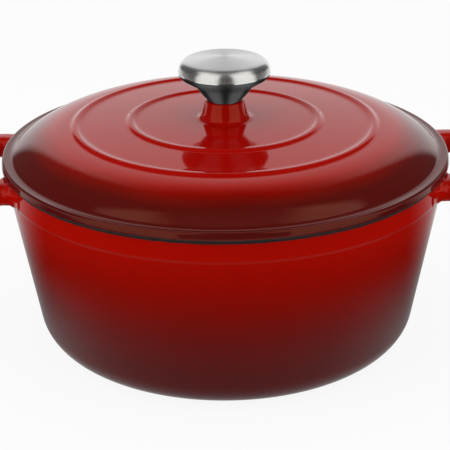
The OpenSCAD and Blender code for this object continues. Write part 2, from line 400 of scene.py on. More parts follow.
class Graph:
    """A material's or the world's node tree, with short calls for the nodes that the finishes use."""

    def __init__(self, owner: bpy.types.ID) -> None:
        """Clears the owner's node tree.

        Args:
            owner: the material or the world.
        """
        owner.use_nodes = True
        self.tree = owner.node_tree
        self.tree.nodes.clear()

    def put(self, socket: Socket, value: object) -> None:
        """Sets a socket to a value, or links it to another node's socket.

        Args:
            socket: the input.
            value: a value or an output socket.
        """
        if isinstance(value, Socket):
            self.tree.links.new(value, socket)
        else:
            socket.default_value = value

    def node(self, kind: str, settings: Optional[dict] = None, **inputs: object) -> bpy.types.Node:
        """Adds a node.

        Args:
            kind: the node's type, without the word ShaderNode that all of them start with.
            settings: the node's own properties.
            inputs: its input sockets by name, with _ for a space.

        Returns:
            The new node.
        """
        made = self.tree.nodes.new("ShaderNode" + kind)
        for key, value in (settings or {}).items():
            setattr(made, key, value)
        for key, value in inputs.items():
            self.put(made.inputs[key.replace("_", " ")], value)
        return made

    def joined(self, made: bpy.types.Node, values: Sequence[object], first: int = 0) -> bpy.types.Node:
        """Gives values to a node's input sockets in order, from the place first.

        Args:
            made: the node.
            values: values or output sockets.
            first: the place of the first input.

        Returns:
            The same node.
        """
        for socket, value in zip(list(made.inputs)[first:], values):
            self.put(socket, value)
        return made

    def math(self, operation: str, *values: object, clamp: bool = False) -> Socket:
        """The result of one Math node."""
        made = self.node("Math", {"operation": operation, "use_clamp": clamp})
        return self.joined(made, values).outputs[0]

    def plus(self, first: object, second: object) -> Socket:
        """The sum of two numbers."""
        return self.math("ADD", first, second)

    def minus(self, first: object, second: object) -> Socket:
        """The first number less the second."""
        return self.math("SUBTRACT", first, second)

    def times(self, *values: object) -> Socket:
        """The product of all the numbers."""
        return reduce(lambda first, second: self.math("MULTIPLY", first, second), values)

    def most(self, *values: object) -> Socket:
        """The largest of the numbers."""
        return reduce(lambda first, second: self.math("MAXIMUM", first, second), values)

    def level(self, x: Socket, y: Socket) -> Socket:
        """The length of a level vector."""
        return self.math("SQRT", self.plus(self.times(x, x), self.times(y, y)))

    def vector(self, operation: str, *values: object) -> Socket:
        """The vector that one Vector Math node gives."""
        return self.joined(self.node("VectorMath", {"operation": operation}), values).outputs[0]

    def xyz(self, x: object, y: object, z: object) -> Socket:
        """A vector of three numbers."""
        return self.node("CombineXYZ", X=x, Y=y, Z=z).outputs[0]

    def split(self, vector: Socket) -> Sequence[Socket]:
        """A vector's three numbers."""
        return self.node("SeparateXYZ", Vector=vector).outputs

    def ease(self, value: object, low: float, high: float, to: Point = (0, 1),
             kind: str = "SMOOTHSTEP") -> Socket:
        """A step of value from low to high, smooth unless its kind is LINEAR."""
        return self.node("MapRange", {"interpolation_type": kind}, Value=value, From_Min=low, From_Max=high,
                         To_Min=to[0], To_Max=to[1]).outputs[0]

    def noise(self, vector: object, scale: float, detail: float = 2, rough: float = 0.5) -> Socket:
        """The height of a noise texture."""
        return self.node("TexNoise", Vector=vector, Scale=scale, Detail=detail, Roughness=rough).outputs[0]

    def stray(self, vector: object, scale: float, reach: float) -> Socket:
        """A noise round zero that strays by at most half of reach."""
        return self.times(self.minus(self.noise(vector, scale, 3), 0.5), reach)

    def ramp(self, value: object, stops: Sequence[tuple[float, Colour]]) -> Socket:
        """A colour ramp through stops, each a place and a linear colour.

        Args:
            value: where on the ramp to read.
            stops: a place and a linear colour each.

        Returns:
            The colour.
        """
        made = self.node("ValToRGB", Fac=value)
        elements = made.color_ramp.elements
        while len(elements) < len(stops):
            elements.new(0.5)
        for element, (place, colour) in zip(elements, stops):
            element.position = place
            element.color = opaque(colour)
        return made.outputs[0]

    def blend(self, factor: object, first: object, second: object, what: Mixed = Mixed.COLOUR,
              mode: str = "MIX") -> Socket:
        """Two values of one kind mixed.

        Args:
            factor: the share of the second.
            first: the first value.
            second: the second value.
            what: the kind of the values.
            mode: how colours are mixed.

        Returns:
            The mixture.
        """
        kind, start, out = what.value
        made = self.node("Mix", {"data_type": kind, "blend_type": mode})
        self.put(made.inputs[0], factor)
        return self.joined(made, (first, second), start).outputs[out]

    def layered(self, factor: object, under: Socket, over: Socket) -> Socket:
        """One shader laid over another by a factor."""
        return self.joined(self.node("MixShader"), (factor, under, over)).outputs[0]

    def place(self) -> Socket:
        """Object coordinates."""
        return self.node("TexCoord").outputs["Object"]

    def radius(self, place: Socket) -> Socket:
        """Distance from the Z axis."""
        return self.level(*self.split(place)[:2])

    def height(self, place: Socket) -> Socket:
        """Height along the Z axis."""
        return self.split(place)[2]

    def bump(self, height: object, distance: float, strength: float = 1,
             normal: Optional[Socket] = None) -> Socket:
        """A bumped normal, raised on another normal where one is given.

        Args:
            height: the relief.
            distance: its depth, in metres.
            strength: the share of it that shows.
            normal: the normal it is raised on, or none for the surface's own.

        Returns:
            The normal.
        """
        made = self.node("Bump", Height=height, Distance=distance, Strength=strength)
        if normal:
            self.put(made.inputs["Normal"], normal)
        return made.outputs[0]

    def end(self, shader: Socket, kind: str = "Material") -> None:
        """Ends the tree in the output of its kind."""
        self.node("Output" + kind, Surface=shader)


def opaque(colour: Colour, share: float = 1.0) -> tuple[float, float, float, float]:
    """A share of a colour's light, with a full alpha."""
    return (*(part * share for part in colour), 1.0)


def new_material(name: str) -> tuple[Look, Graph]:
    """A new material and its empty graph."""
    material = bpy.data.materials.new(name)
    return material, Graph(material)


@dataclass(frozen=True)
class Finish:
    """A finish of one Principled shader, whose inputs each kind of finish gives."""

    name: str

    def make(self) -> Look:
        """Makes the finish's material.

        Returns:
            The material.
        """
        material, g = new_material(self.name)
        g.end(g.node("BsdfPrincipled", **self.inputs(g, g.place())).outputs[0])
        return material

    def inputs(self, g: Graph, place: Socket) -> dict[str, object]:
        """The shader's inputs by name, from nodes that start at the object's coordinates."""
        raise NotImplementedError


@dataclass(frozen=True)
class Glaze(Finish):
    """Glossy enamel whose colour deepens along the casting, and which ends unevenly at a bare seat."""

    fade: Fade
    low: float
    high: float
    stops: tuple[tuple[float, Colour], ...]
    bare: Point
    tint: Colour
    index: float = 1.5
    gloss: Point = (0.05, 0.09)
    iron: Colour = (0.022, 0.018, 0.017)
    clouds: float = 22.0
    flecks: float = 900.0
    ragged: float = 170.0
    wear: float = 60.0
    peel: float = 150.0

    def inputs(self, g: Graph, place: Socket) -> dict[str, object]:
        """A fading colour, a faint mottle, orange peel, and black iron past the glaze's edge.

        Args:
            g: the material's graph.
            place: the object's coordinates.

        Returns:
            The inputs. The glaze ends between the two heights of bare, whichever way they run.
        """
        height = g.height(place)
        along = height if self.fade is Fade.HEIGHT else g.radius(place)
        along = g.plus(along, g.stray(place, self.clouds, 0.006))
        span = g.ease(along, self.low * MM, self.high * MM, kind="LINEAR")
        fleck = g.ease(g.noise(place, self.flecks, 2, 0.6), 0.3, 0.7, (0.94, 1.06))
        grey = g.node("CombineColor", Red=fleck, Green=fleck, Blue=fleck).outputs[0]
        tone = g.blend(1.0, g.ramp(span, self.stops), grey, mode="MULTIPLY")
        edge = g.plus(height, g.stray(place, self.ragged, 0.0009))
        bare = g.ease(edge, self.bare[0] * MM, self.bare[1] * MM)
        rough = g.plus(g.ease(g.noise(place, self.wear, 4), 0.3, 0.7, self.gloss), g.times(bare, 0.5))
        peel = g.bump(g.noise(place, self.peel, 2), 0.00006, 0.35)
        return dict(Base_Color=g.blend(bare, tone, opaque(self.iron)), Roughness=rough, IOR=self.index,
                    Specular_Tint=opaque(self.tint), Normal=peel)


@dataclass(frozen=True)
class Stone(Finish):
    """Pale, slightly speckled enamel on the inside."""

    colour: Colour
    fleck: Colour

    def inputs(self, g: Graph, place: Socket) -> dict[str, object]:
        """A pale enamel with sparse darker flecks.

        Args:
            g: the material's graph.
            place: the object's coordinates.

        Returns:
            The inputs.
        """
        specks = g.node("TexVoronoi", Vector=place, Scale=520).outputs["Distance"]
        mask = g.times(g.ease(specks, 0.22, 0.1), g.ease(g.noise(place, 240, 1), 0.55, 0.62))
        cloud = g.ease(g.noise(place, 18, 3), 0.3, 0.7)
        pale = g.blend(cloud, opaque(self.colour), opaque(self.colour, 0.94))
        rough = g.ease(g.noise(place, 90, 3), 0.3, 0.7, (0.2, 0.3))
        return dict(Base_Color=g.blend(mask, pale, opaque(self.fleck)), Roughness=rough, IOR=1.5,
                    Normal=g.bump(g.noise(place, 220, 2), 0.00005, 0.4))


@dataclass(frozen=True)
class RawIron(Finish):
    """Matt black ground enamel on the bare seats and the foot ring."""

    def inputs(self, g: Graph, place: Socket) -> dict[str, object]:
        """A matt black, slightly grainy coat.

        Args:
            g: the material's graph.
            place: the object's coordinates.

        Returns:
            The inputs.
        """
        grain = g.noise(place, 1400, 3, 0.65)
        colour = g.ramp(g.noise(place, 160, 4), ((0.3, (0.016, 0.013, 0.012)), (0.7, (0.034, 0.028, 0.026))))
        return dict(Base_Color=colour, Roughness=g.ease(grain, 0.3, 0.7, (0.5, 0.68)), IOR=1.45,
                    Normal=g.bump(grain, 0.00008, 0.6))


@dataclass(frozen=True)
class Lean:
    """Which way a turned surface is shaded: two heights in mm, the angle up at each, and where it ends.

    Above the fade the surface keeps its own normal, brought towards straight up by the flattening, which
    works inside the radii of the flat.
    """

    low: float
    high: float
    first: float
    last: float
    fade: Point = (1000.0, 1001.0)
    flatten: float = 0.0
    flat: Point = (26.0, 20.0)

    def normal(self, g: Graph, place: Socket) -> Socket:
        """The normal in world space that the shader is given.

        Args:
            g: the material's graph.
            place: the object's coordinates.

        Returns:
            The normal.
        """
        height = g.height(place)
        angle = g.ease(height, self.low * MM, self.high * MM,
                       (math.radians(self.first), math.radians(self.last)), "LINEAR")
        outward = g.vector("NORMALIZE", g.vector("MULTIPLY", place, (1, 1, 0)))
        level = g.math("COSINE", angle)
        leaning = g.vector("ADD", g.vector("MULTIPLY", outward, g.xyz(level, level, 0)),
                           g.xyz(0, 0, g.math("SINE", angle)))
        to_world = self.transformed(g, leaning)
        up = g.ease(g.radius(place), self.flat[0] * MM, self.flat[1] * MM, (0, self.flatten))
        own = g.vector("ADD", g.node("NewGeometry").outputs["Normal"], g.xyz(0, 0, up))
        return g.blend(g.ease(height, self.fade[0] * MM, self.fade[1] * MM), to_world,
                       g.vector("NORMALIZE", own), Mixed.VECTOR)

    def transformed(self, g: Graph, normal: Socket) -> Socket:
        """A normal in the object's own axes, taken to the world's.

        Args:
            g: the material's graph.
            normal: the normal in the object's axes.

        Returns:
            The normal in the world's axes.
        """
        made = g.node("VectorTransform", {"vector_type": "NORMAL", "convert_from": "OBJECT",
                                          "convert_to": "WORLD"})
        return g.joined(made, (normal,)).outputs[0]


@dataclass(frozen=True)
class Steel(Finish):
    """Turned steel whose fine lines run round the Z axis, and which may be polished outside a radius."""

    colour: Colour
    gloss: Point
    lines: float
    depth: float
    anisotropy: float = 0.0
    lean: Optional[Lean] = None
    polished_from: Optional[Point] = None
    polish: float = 0.2

    def inputs(self, g: Graph, place: Socket) -> dict[str, object]:
        """Fine turned lines in the gloss and the relief, and faint handling marks.

        Args:
            g: the material's graph.
            place: the object's coordinates.

        Returns:
            The inputs.
        """
        ring = g.xyz(g.radius(place), g.times(g.height(place), 0.7), 0)
        lines = g.noise(ring, self.lines, 3, 0.7)
        marks = g.ease(g.noise(place, 45, 4, 0.6), 0.4, 0.8, (0, 0.03))
        rough = g.plus(g.ease(lines, 0.3, 0.7, self.gloss), marks)
        if self.polished_from:
            outside = g.ease(g.radius(place), self.polished_from[0] * MM, self.polished_from[1] * MM)
            polished = g.times(outside, g.plus(marks, self.polish))
            rough = g.plus(g.times(g.minus(1.0, outside), rough), polished)
        tint = g.blend(g.ease(lines, 0.25, 0.75), opaque(self.colour, 0.93), opaque(self.colour))
        tangent = g.node("Tangent", {"direction_type": "RADIAL", "axis": "Z"}).outputs[0]
        normal = self.lean.normal(g, place) if self.lean else None
        return dict(Base_Color=tint, Metallic=1.0, Roughness=rough, Tangent=tangent,
                    Anisotropic=self.anisotropy, Anisotropic_Rotation=0.25,
                    Normal=g.bump(lines, self.depth, 1, normal))


@dataclass(frozen=True)
class Fibre(Finish):
    """Dull dark gasket."""

    def inputs(self, g: Graph, place: Socket) -> dict[str, object]:
        """A dull, slightly mottled surface."""
        colour = g.ramp(g.noise(place, 700, 4), ((0.3, (0.02, 0.018, 0.017)), (0.75, (0.05, 0.045, 0.042))))
        return dict(Base_Color=colour, Roughness=0.75, Normal=g.bump(g.noise(place, 1500, 2), 0.00005, 0.6))


@dataclass
class Finishes:
    """Every finish of the oven, each made once."""

    pot_glaze: Look
    handle_glaze: Look
    lid_glaze: Look
    cream: Look
    black: Look
    satin: Look
    polished: Look
    brushed: Look
    zinc: Look
    fibre: Look

    @classmethod
    def build(cls) -> "Finishes":
        """Makes all the materials.

        Returns:
            The set of finishes.
        """
        wall = Glaze("red_glaze_pot", Fade.HEIGHT, 0, 118, (
            (0.0, (0.056, 0.004, 0.004)), (0.22, (0.072, 0.004, 0.004)), (0.40, (0.118, 0.004, 0.003)),
            (0.56, (0.195, 0.004, 0.002)), (0.74, (0.285, 0.0035, 0.001)), (0.9, (0.365, 0.0035, 0.0005))),
            bare=(115.5, 115.9), tint=(1.0, 0.36, 0.33))
        handles = replace(wall, name="red_glaze_handles", bare=(900.0, 901.0))
        top = Glaze("red_glaze_lid", Fade.RADIUS, 0, 140, (
            (0.0, (0.35, 0.002, 0.0005)), (0.5, (0.33, 0.002, 0.0005)), (0.68, (0.335, 0.002, 0.0005)),
            (0.76, (0.325, 0.002, 0.0005)), (0.83, (0.165, 0.003, 0.001)), (0.88, (0.085, 0.004, 0.003)),
            (1.0, (0.07, 0.004, 0.004))), bare=(118.9, 118.6), tint=(1.0, 0.4, 0.22))
        head = Lean(low=170.8, high=174.5, first=14, last=19)
        cone = Lean(low=153.4, high=171.0, first=20, last=26)
        return cls(
            pot_glaze=wall.make(),
            handle_glaze=handles.make(),
            lid_glaze=top.make(),
            cream=Stone("cream_enamel", colour=(0.62, 0.55, 0.43), fleck=(0.25, 0.2, 0.15)).make(),
            black=RawIron("black_enamel").make(),
            satin=Steel("satin_steel", (0.77, 0.765, 0.745), gloss=(0.3, 0.34), lines=1500, depth=0.000003,
                        anisotropy=0.75, lean=replace(head, fade=(174.5, 176.2), flatten=3.0),
                        polished_from=(25.5, 28.6), polish=0.25).make(),
            polished=Steel("polished_steel", (0.72, 0.72, 0.715), gloss=(0.08, 0.12), lines=1500,
                           depth=0.000003, lean=head).make(),
            # The steel of the bowl's cone and the neck is painted dark, a painted shade standing in for the
            # dark reflections there; real steel would be pale like the satin and polished finishes.
            brushed=Steel("brushed_steel", (0.095, 0.097, 0.10), gloss=(0.28, 0.38), lines=3200,
                          depth=0.00002, anisotropy=0.3, lean=cone).make(),
            zinc=Steel("zinc_steel", (0.55, 0.56, 0.58), gloss=(0.25, 0.4), lines=900, depth=0.00001).make(),
            fibre=Fibre("gasket_fibre").make())


# The oven


@dataclass(frozen=True)
class PotShell:
    """The pot's own casting without its handles."""

    rim: float = 137.4
    height: float = 118.0
    wall: float = 4.0
    floor: float = 4.5
    lean: float = 10.0
    base_round: float = 27.0
    band: float = 12.65
    slope: float = 2.3
    step: float = 1.0
    stand: float = 14.0
    stand_lift: float = 0.8
    bare_rim: float = 1.2
    bare_foot: float = 0.35
    steps: int = 256

    def outline(self) -> list[Point]:
        """The half section, from the axis under the floor round to the axis inside.

        Returns:
            Radius and height of each point, in millimetres.
        """
        lean = math.tan(math.radians(self.lean))
        wall = self.rim - self.step
        low = self.height - self.band - self.slope
        mouth = wall - self.wall / math.cos(math.radians(self.lean))
        foot = wall - low * lean
        ring = foot - self.base_round * math.tan(math.radians(90 - self.lean) / 2) - self.stand
        return rounded([
            (0, self.stand_lift), (ring, self.stand_lift, 0.6), (ring + self.stand_lift, 0, 0.4),
            (foot, 0, self.base_round), (wall, low, 0.8), (self.rim, low + self.slope, 0.8),
            (self.rim, self.height, 1.1), (mouth, self.height, 1.1), (mouth, low, 12.0),
            (mouth - (low - self.floor) * lean, self.floor, self.base_round - self.wall),
            (0, self.floor)], step=3.2)

    def zone(self, centre: Vector, normal: Vector) -> Zone:
        """Tells the glazed outside, the cream inside, and the bare rim and foot ring apart.

        Args:
            centre: a face's centre, in millimetres.
            normal: its normal.

        Returns:
            Its zone.
        """
        if centre.z > self.height - self.bare_rim or (centre.z < self.bare_foot and normal.z < -0.9):
            return Zone.BARE
        inward = normal.z > 0.5 or normal.xy.dot(centre.xy) < 0
        inside = centre.z > self.floor - 1 and centre.xy.length < self.rim - 2
        return Zone.CREAM if inward and inside else Zone.GLAZED

    def build(self, finishes: Finishes) -> Piece:
        """Turns the casting, glazes it, and mounts it in place of the CAD pot.

        Args:
            finishes: the oven's finishes.

        Returns:
            The finished piece.
        """
        pot = turned("pot_shell", self.outline(), self.steps)
        dress(pot, [finishes.pot_glaze, finishes.cream, finishes.black], self.zone)
        mount(pot, Body.POT, "pot")
        return pot


@dataclass(frozen=True)
class LoopHandle:
    """One loop handle, cast with the pot: a bar, two corners and two flared arms."""

    rim: float = 138.0
    wall: float = 136.4
    core: float = 134.37
    pitch: float = 86.0
    reach: float = 37.0
    width: float = 17.0
    thick: float = 14.0
    edge: float = 6.0
    centre: float = 108.7
    corner: float = 16.0
    root: float = 10.0
    under: float = 0.8
    over: float = 1.6
    edge_parts: int = 7
    bar_parts: int = 10
    corner_parts: int = 18
    arm_parts: int = 3
    root_parts: int = 26

    def spread(self, x: float, start: float, radius: float) -> float:
        """How far a hollow that starts at start has spread at x.

        Args:
            x: the place along the arm.
            start: where the hollow starts.
            radius: its radius.

        Returns:
            The spread, up to the hollow's radius.
        """
        if x >= start:
            return 0
        if x <= start - radius:
            return radius
        return radius - math.sqrt(radius ** 2 - (start - x) ** 2)

    def sides(self, x: float) -> tuple[float, float, float, float]:
        """Low and high Y, and low and high Z, of the arm's section at x.

        Args:
            x: the place along the arm.

        Returns:
            The four sides, in millimetres.
        """
        arm, half = self.pitch / 2, self.width / 2
        inner = chord(self.rim + self.root, arm - half - self.root)
        outer = chord(self.rim + self.root, arm + half + self.root)
        below, above = chord(self.wall + self.under, arm), chord(self.rim + self.over, arm)
        return (arm - half - self.spread(x, inner, self.root), arm + half + self.spread(x, outer, self.root),
                self.centre - self.thick / 2 - self.spread(x, below, self.under),
                self.centre + self.thick / 2 + self.spread(x, above, self.over))

    def build_half(self) -> Piece:
        """Models the half on the +Y side of the handle that points along +X.

        Returns:
            The open half, named for the whole handle.
        """
        arm = self.pitch / 2
        bar = self.rim + self.reach - self.width / 2
        turn_y = arm - self.corner
        turn_x = chord(bar - self.corner, turn_y)
        half = math.atan2(turn_y, turn_x)
        piece = started("loop_handle_right", bpy.ops.mesh.primitive_plane_add, size=MM)
        with editing(piece):
            resize(self.width, self.thick, 1)
            bpy.ops.mesh.bevel(offset=self.edge * MM, segments=self.edge_parts, affect="VERTICES")
            select_all()
            bpy.ops.transform.rotate(value=QUARTER, orient_axis="X", center_override=(0, 0, 0))
            move(bar, 0, self.centre)
            bpy.ops.mesh.spin(steps=self.bar_parts, angle=half, center=(0, 0, 0), axis=(0, 0, -1))
            bpy.ops.mesh.spin(steps=self.corner_parts, angle=QUARTER - half,
                              center=(turn_x * MM, turn_y * MM, 0), axis=(0, 0, -1))
            self.extrude_arm(turn_x)
        return piece

    def extrude_arm(self, x: float) -> None:
        """Extrudes the open arm from x along its flared sides to inside the wall.

        Args:
            x: where the straight arm starts.
        """
        start = chord(self.rim + self.root, self.pitch / 2 - self.width / 2 - self.root)
        end = chord(self.core, self.pitch / 2 + self.width / 2 + self.root) - 1
        box = self.sides(x)
        for station in spaced(x, start, self.arm_parts)[1:] + spaced(start, end, self.root_parts)[1:]:
            following = self.sides(station)
            extrude(station - x, 0, 0)
            resize(1, (following[1] - following[0]) / (box[1] - box[0]),
                   (following[3] - following[2]) / (box[3] - box[2]), (station, box[0], box[2]))
            move(0, following[0] - box[0], following[2] - box[2])
            x, box = station, following

    def build(self, finishes: Finishes) -> list[Piece]:
        """Models both handles and trims them inside the wall.

        Args:
            finishes: the oven's finishes.

        Returns:
            The right and the left handle.
        """
        right = self.build_half()
        self.open_middle(right)
        modify(right, "MIRROR", use_axis=(False, True, False), use_clip=True, merge_threshold=1e-5)
        self.close(right)
        cut(right, rod(self.core, self.centre - 40, self.centre + 40, PotShell.steps))
        left = right.copy()
        left.data = right.data.copy()
        left.name = left.data.name = "loop_handle_left"
        bpy.context.collection.objects.link(left)
        with editing(left):
            resize(-1, 1, 1)
            face_outwards()
        for handle in (right, left):
            dress(handle, [finishes.handle_glaze])
            mount(handle, Body.POT, "pot", 40)
        return [right, left]

    def open_middle(self, piece: Piece) -> None:
        """Removes the first face, where the two halves of the bar meet.

        Args:
            piece: the half handle.
        """
        with editing(piece):
            select_where(piece, "polygons", lambda polygon: abs(polygon.center.y) < HAIR)
            bpy.ops.mesh.select_mode(type="FACE")
            bpy.ops.mesh.delete(type="ONLY_FACE")
            bpy.ops.mesh.select_mode(type="VERT")

    def close(self, piece: Piece) -> None:
        """Merges what meets, closes the ends and turns the faces outwards.

        Args:
            piece: the whole handle.
        """
        with editing(piece):
            bpy.ops.mesh.remove_doubles(threshold=1e-6)
            bpy.ops.mesh.select_all(action="DESELECT")
            bpy.ops.mesh.select_non_manifold(extend=False, use_wire=False, use_multi_face=False,
                                             use_non_contiguous=False, use_verts=False)
            bpy.ops.mesh.fill_holes(sides=0)
            face_outwards()


@dataclass(frozen=True)
class LidCasting:
    """The lid: edge, ledge, shoulder, crown with two rings, boss and locating lip."""

    seat: float = 118.0
    radius: float = 140.2
    edge: float = 5.2
    edge_round: float = 1.4
    edge_foot: float = 0.9
    edge_draft: float = 12.0
    ledge: float = 6.2
    ledge_dip: float = 0.4
    ledge_round: float = 10.5
    slope: float = 38.5
    shoulder: float = 60.0
    crown: float = 23.7
    thick: float = 4.0
    lip: float = 131.34
    lip_in: float = 127.34
    lip_drop: float = 4.5
    lip_round: float = 1.5
    ring_rise: float = 1.4
    ring_width: float = 8.2
    ring_out: float = 93.4
    ring_in: float = 58.8
    boss: float = 10.9
    boss_top: float = 12.0
    boss_foot: float = 15.2
    boss_fillet: float = 6.0
    boss_edge: float = 1.0
    boss_rim: float = 0.8
    boss_seat: float = 10.0
    hole: float = 3.3
    recess: float = 9.0
    recess_top: float = 145.6
    near_ring: float = 0.45
    plain_step: float = 2.2
    steps: int = 336

    def dome(self) -> Dome:
        """The crown and the shoulder, above the seat.

        Returns:
            The two arcs, tangent to each other and to the ledge's hollow.
        """
        slope = math.radians(self.slope)
        run_out = 1.25 * self.ledge_round * math.tan(slope / 2)
        foot = (self.radius - self.ledge - run_out * math.cos(slope),
                self.edge - self.ledge_dip + run_out * math.sin(slope))
        side = (foot[0] - self.shoulder * math.sin(slope), foot[1] - self.shoulder * math.cos(slope))
        return Dome(self.crown, side, self.shoulder)

    def top_height(self, dome: Dome, radius: float) -> float:
        """Height of the crown above the seat at a radius, with the rings on it.

        Args:
            dome: the lid's arcs.
            radius: the distance from the axis.

        Returns:
            The height.
        """
        rise = 0.0
        for ring in (self.ring_in, self.ring_out):
            away = min(1.0, abs(radius - ring) / (self.ring_width / 2))
            rise += self.ring_rise * (1 + math.cos(math.pi * away)) / 2
        return dome.height(radius) + rise

    def outline(self) -> list[Point]:
        """The half section, from the screw hole's top out over the crown and back under it.

        Returns:
            Radius and height of each point, in millimetres.
        """
        dome = self.dome()
        foot_z = self.top_height(dome, self.boss_foot)
        start = self.boss_foot + 7
        top = self.crown + self.boss
        boss = rounded([
            (self.hole, top), (self.boss_seat, top), (self.boss_seat, top + self.boss_rim, 0.2),
            (self.boss_top, top + self.boss_rim, self.boss_edge),
            (self.boss_foot, foot_z, self.boss_fillet), (start, self.top_height(dome, start))], step=1.2)
        end = dome.crown * math.sin(dome.turn)
        radii: list[float] = []
        at = start
        while at < end - 1.0:
            near = min(abs(at - self.ring_in), abs(at - self.ring_out)) < self.ring_width / 2 + 0.6
            at += self.near_ring if near else self.plain_step
            radii.append(at)
        crown = [(r, self.top_height(dome, r)) for r in radii if r < end - 0.5]
        side = dome.side_points(math.radians(self.slope), step=1.2)
        edge = rounded([
            side[-1], (self.radius - self.ledge, self.edge - self.ledge_dip, self.ledge_round),
            (self.radius - self.edge * math.tan(math.radians(self.edge_draft)), self.edge, self.edge_round),
            (self.radius, 0, self.edge_foot),
            (self.lip, 0, 0.5), (self.lip, -self.lip_drop, self.lip_round),
            (self.lip_in, -self.lip_drop, self.lip_round), self.under_foot(dome)], step=0.8)
        under_side = dome.side_points(self.under_angle(dome), step=2.0, inset=self.thick)[::-1]
        under = dome.crown_points(under_side[-1][0], self.recess, step=3.0, inset=self.thick)
        recess = [(self.recess, self.recess_top - self.seat), (self.hole, self.recess_top - self.seat)]
        points = boss + crown + side + edge[1:-1] + under_side + under[1:] + recess
        return [(r, z + self.seat) for r, z in points]

    def under_angle(self, dome: Dome) -> float:
        """The angle on the shoulder's arc at which the underside meets the lip."""
        return math.asin((self.lip_in - dome.side[0]) / (self.shoulder - self.thick))

    def under_foot(self, dome: Dome) -> Point:
        """Where the lip meets the underside of the shoulder."""
        return turn_point(dome.side, self.shoulder - self.thick, QUARTER - self.under_angle(dome))

    def zone(self, centre: Vector, normal: Vector) -> Zone:
        """Tells the glazed top, the cream inside and the bare seats apart.

        Args:
            centre: a face's centre, in millimetres.
            normal: its normal.

        Returns:
            Its zone.
        """
        reach, height = centre.xy.length, centre.z - self.seat
        if (self.lip - 0.4 < reach and -0.6 < height < 1.0) or (
                reach < self.recess + 0.1 and height < self.crown + self.boss - 0.1):
            return Zone.BARE
        if height > 1.0 and reach > self.lip:
            return Zone.GLAZED
        inward = reach > 100 and normal.xy.dot(centre.xy) < -0.2 * reach
        near_hole = reach < self.recess + 0.5 and height < self.crown + self.boss - 0.1
        below = near_hole or height < 0.1 or normal.z < 0 or inward
        return Zone.CREAM if below else Zone.GLAZED

    def build(self, finishes: Finishes) -> Piece:
        """Turns the casting, glazes it, and mounts it in place of the CAD lid.

        Args:
            finishes: the oven's finishes.

        Returns:
            The finished piece.
        """
        lid = turned("lid_casting", self.outline(), self.steps)
        dress(lid, [finishes.lid_glaze, finishes.cream, finishes.black], self.zone)
        mount(lid, Body.LID, "lid")
        return lid


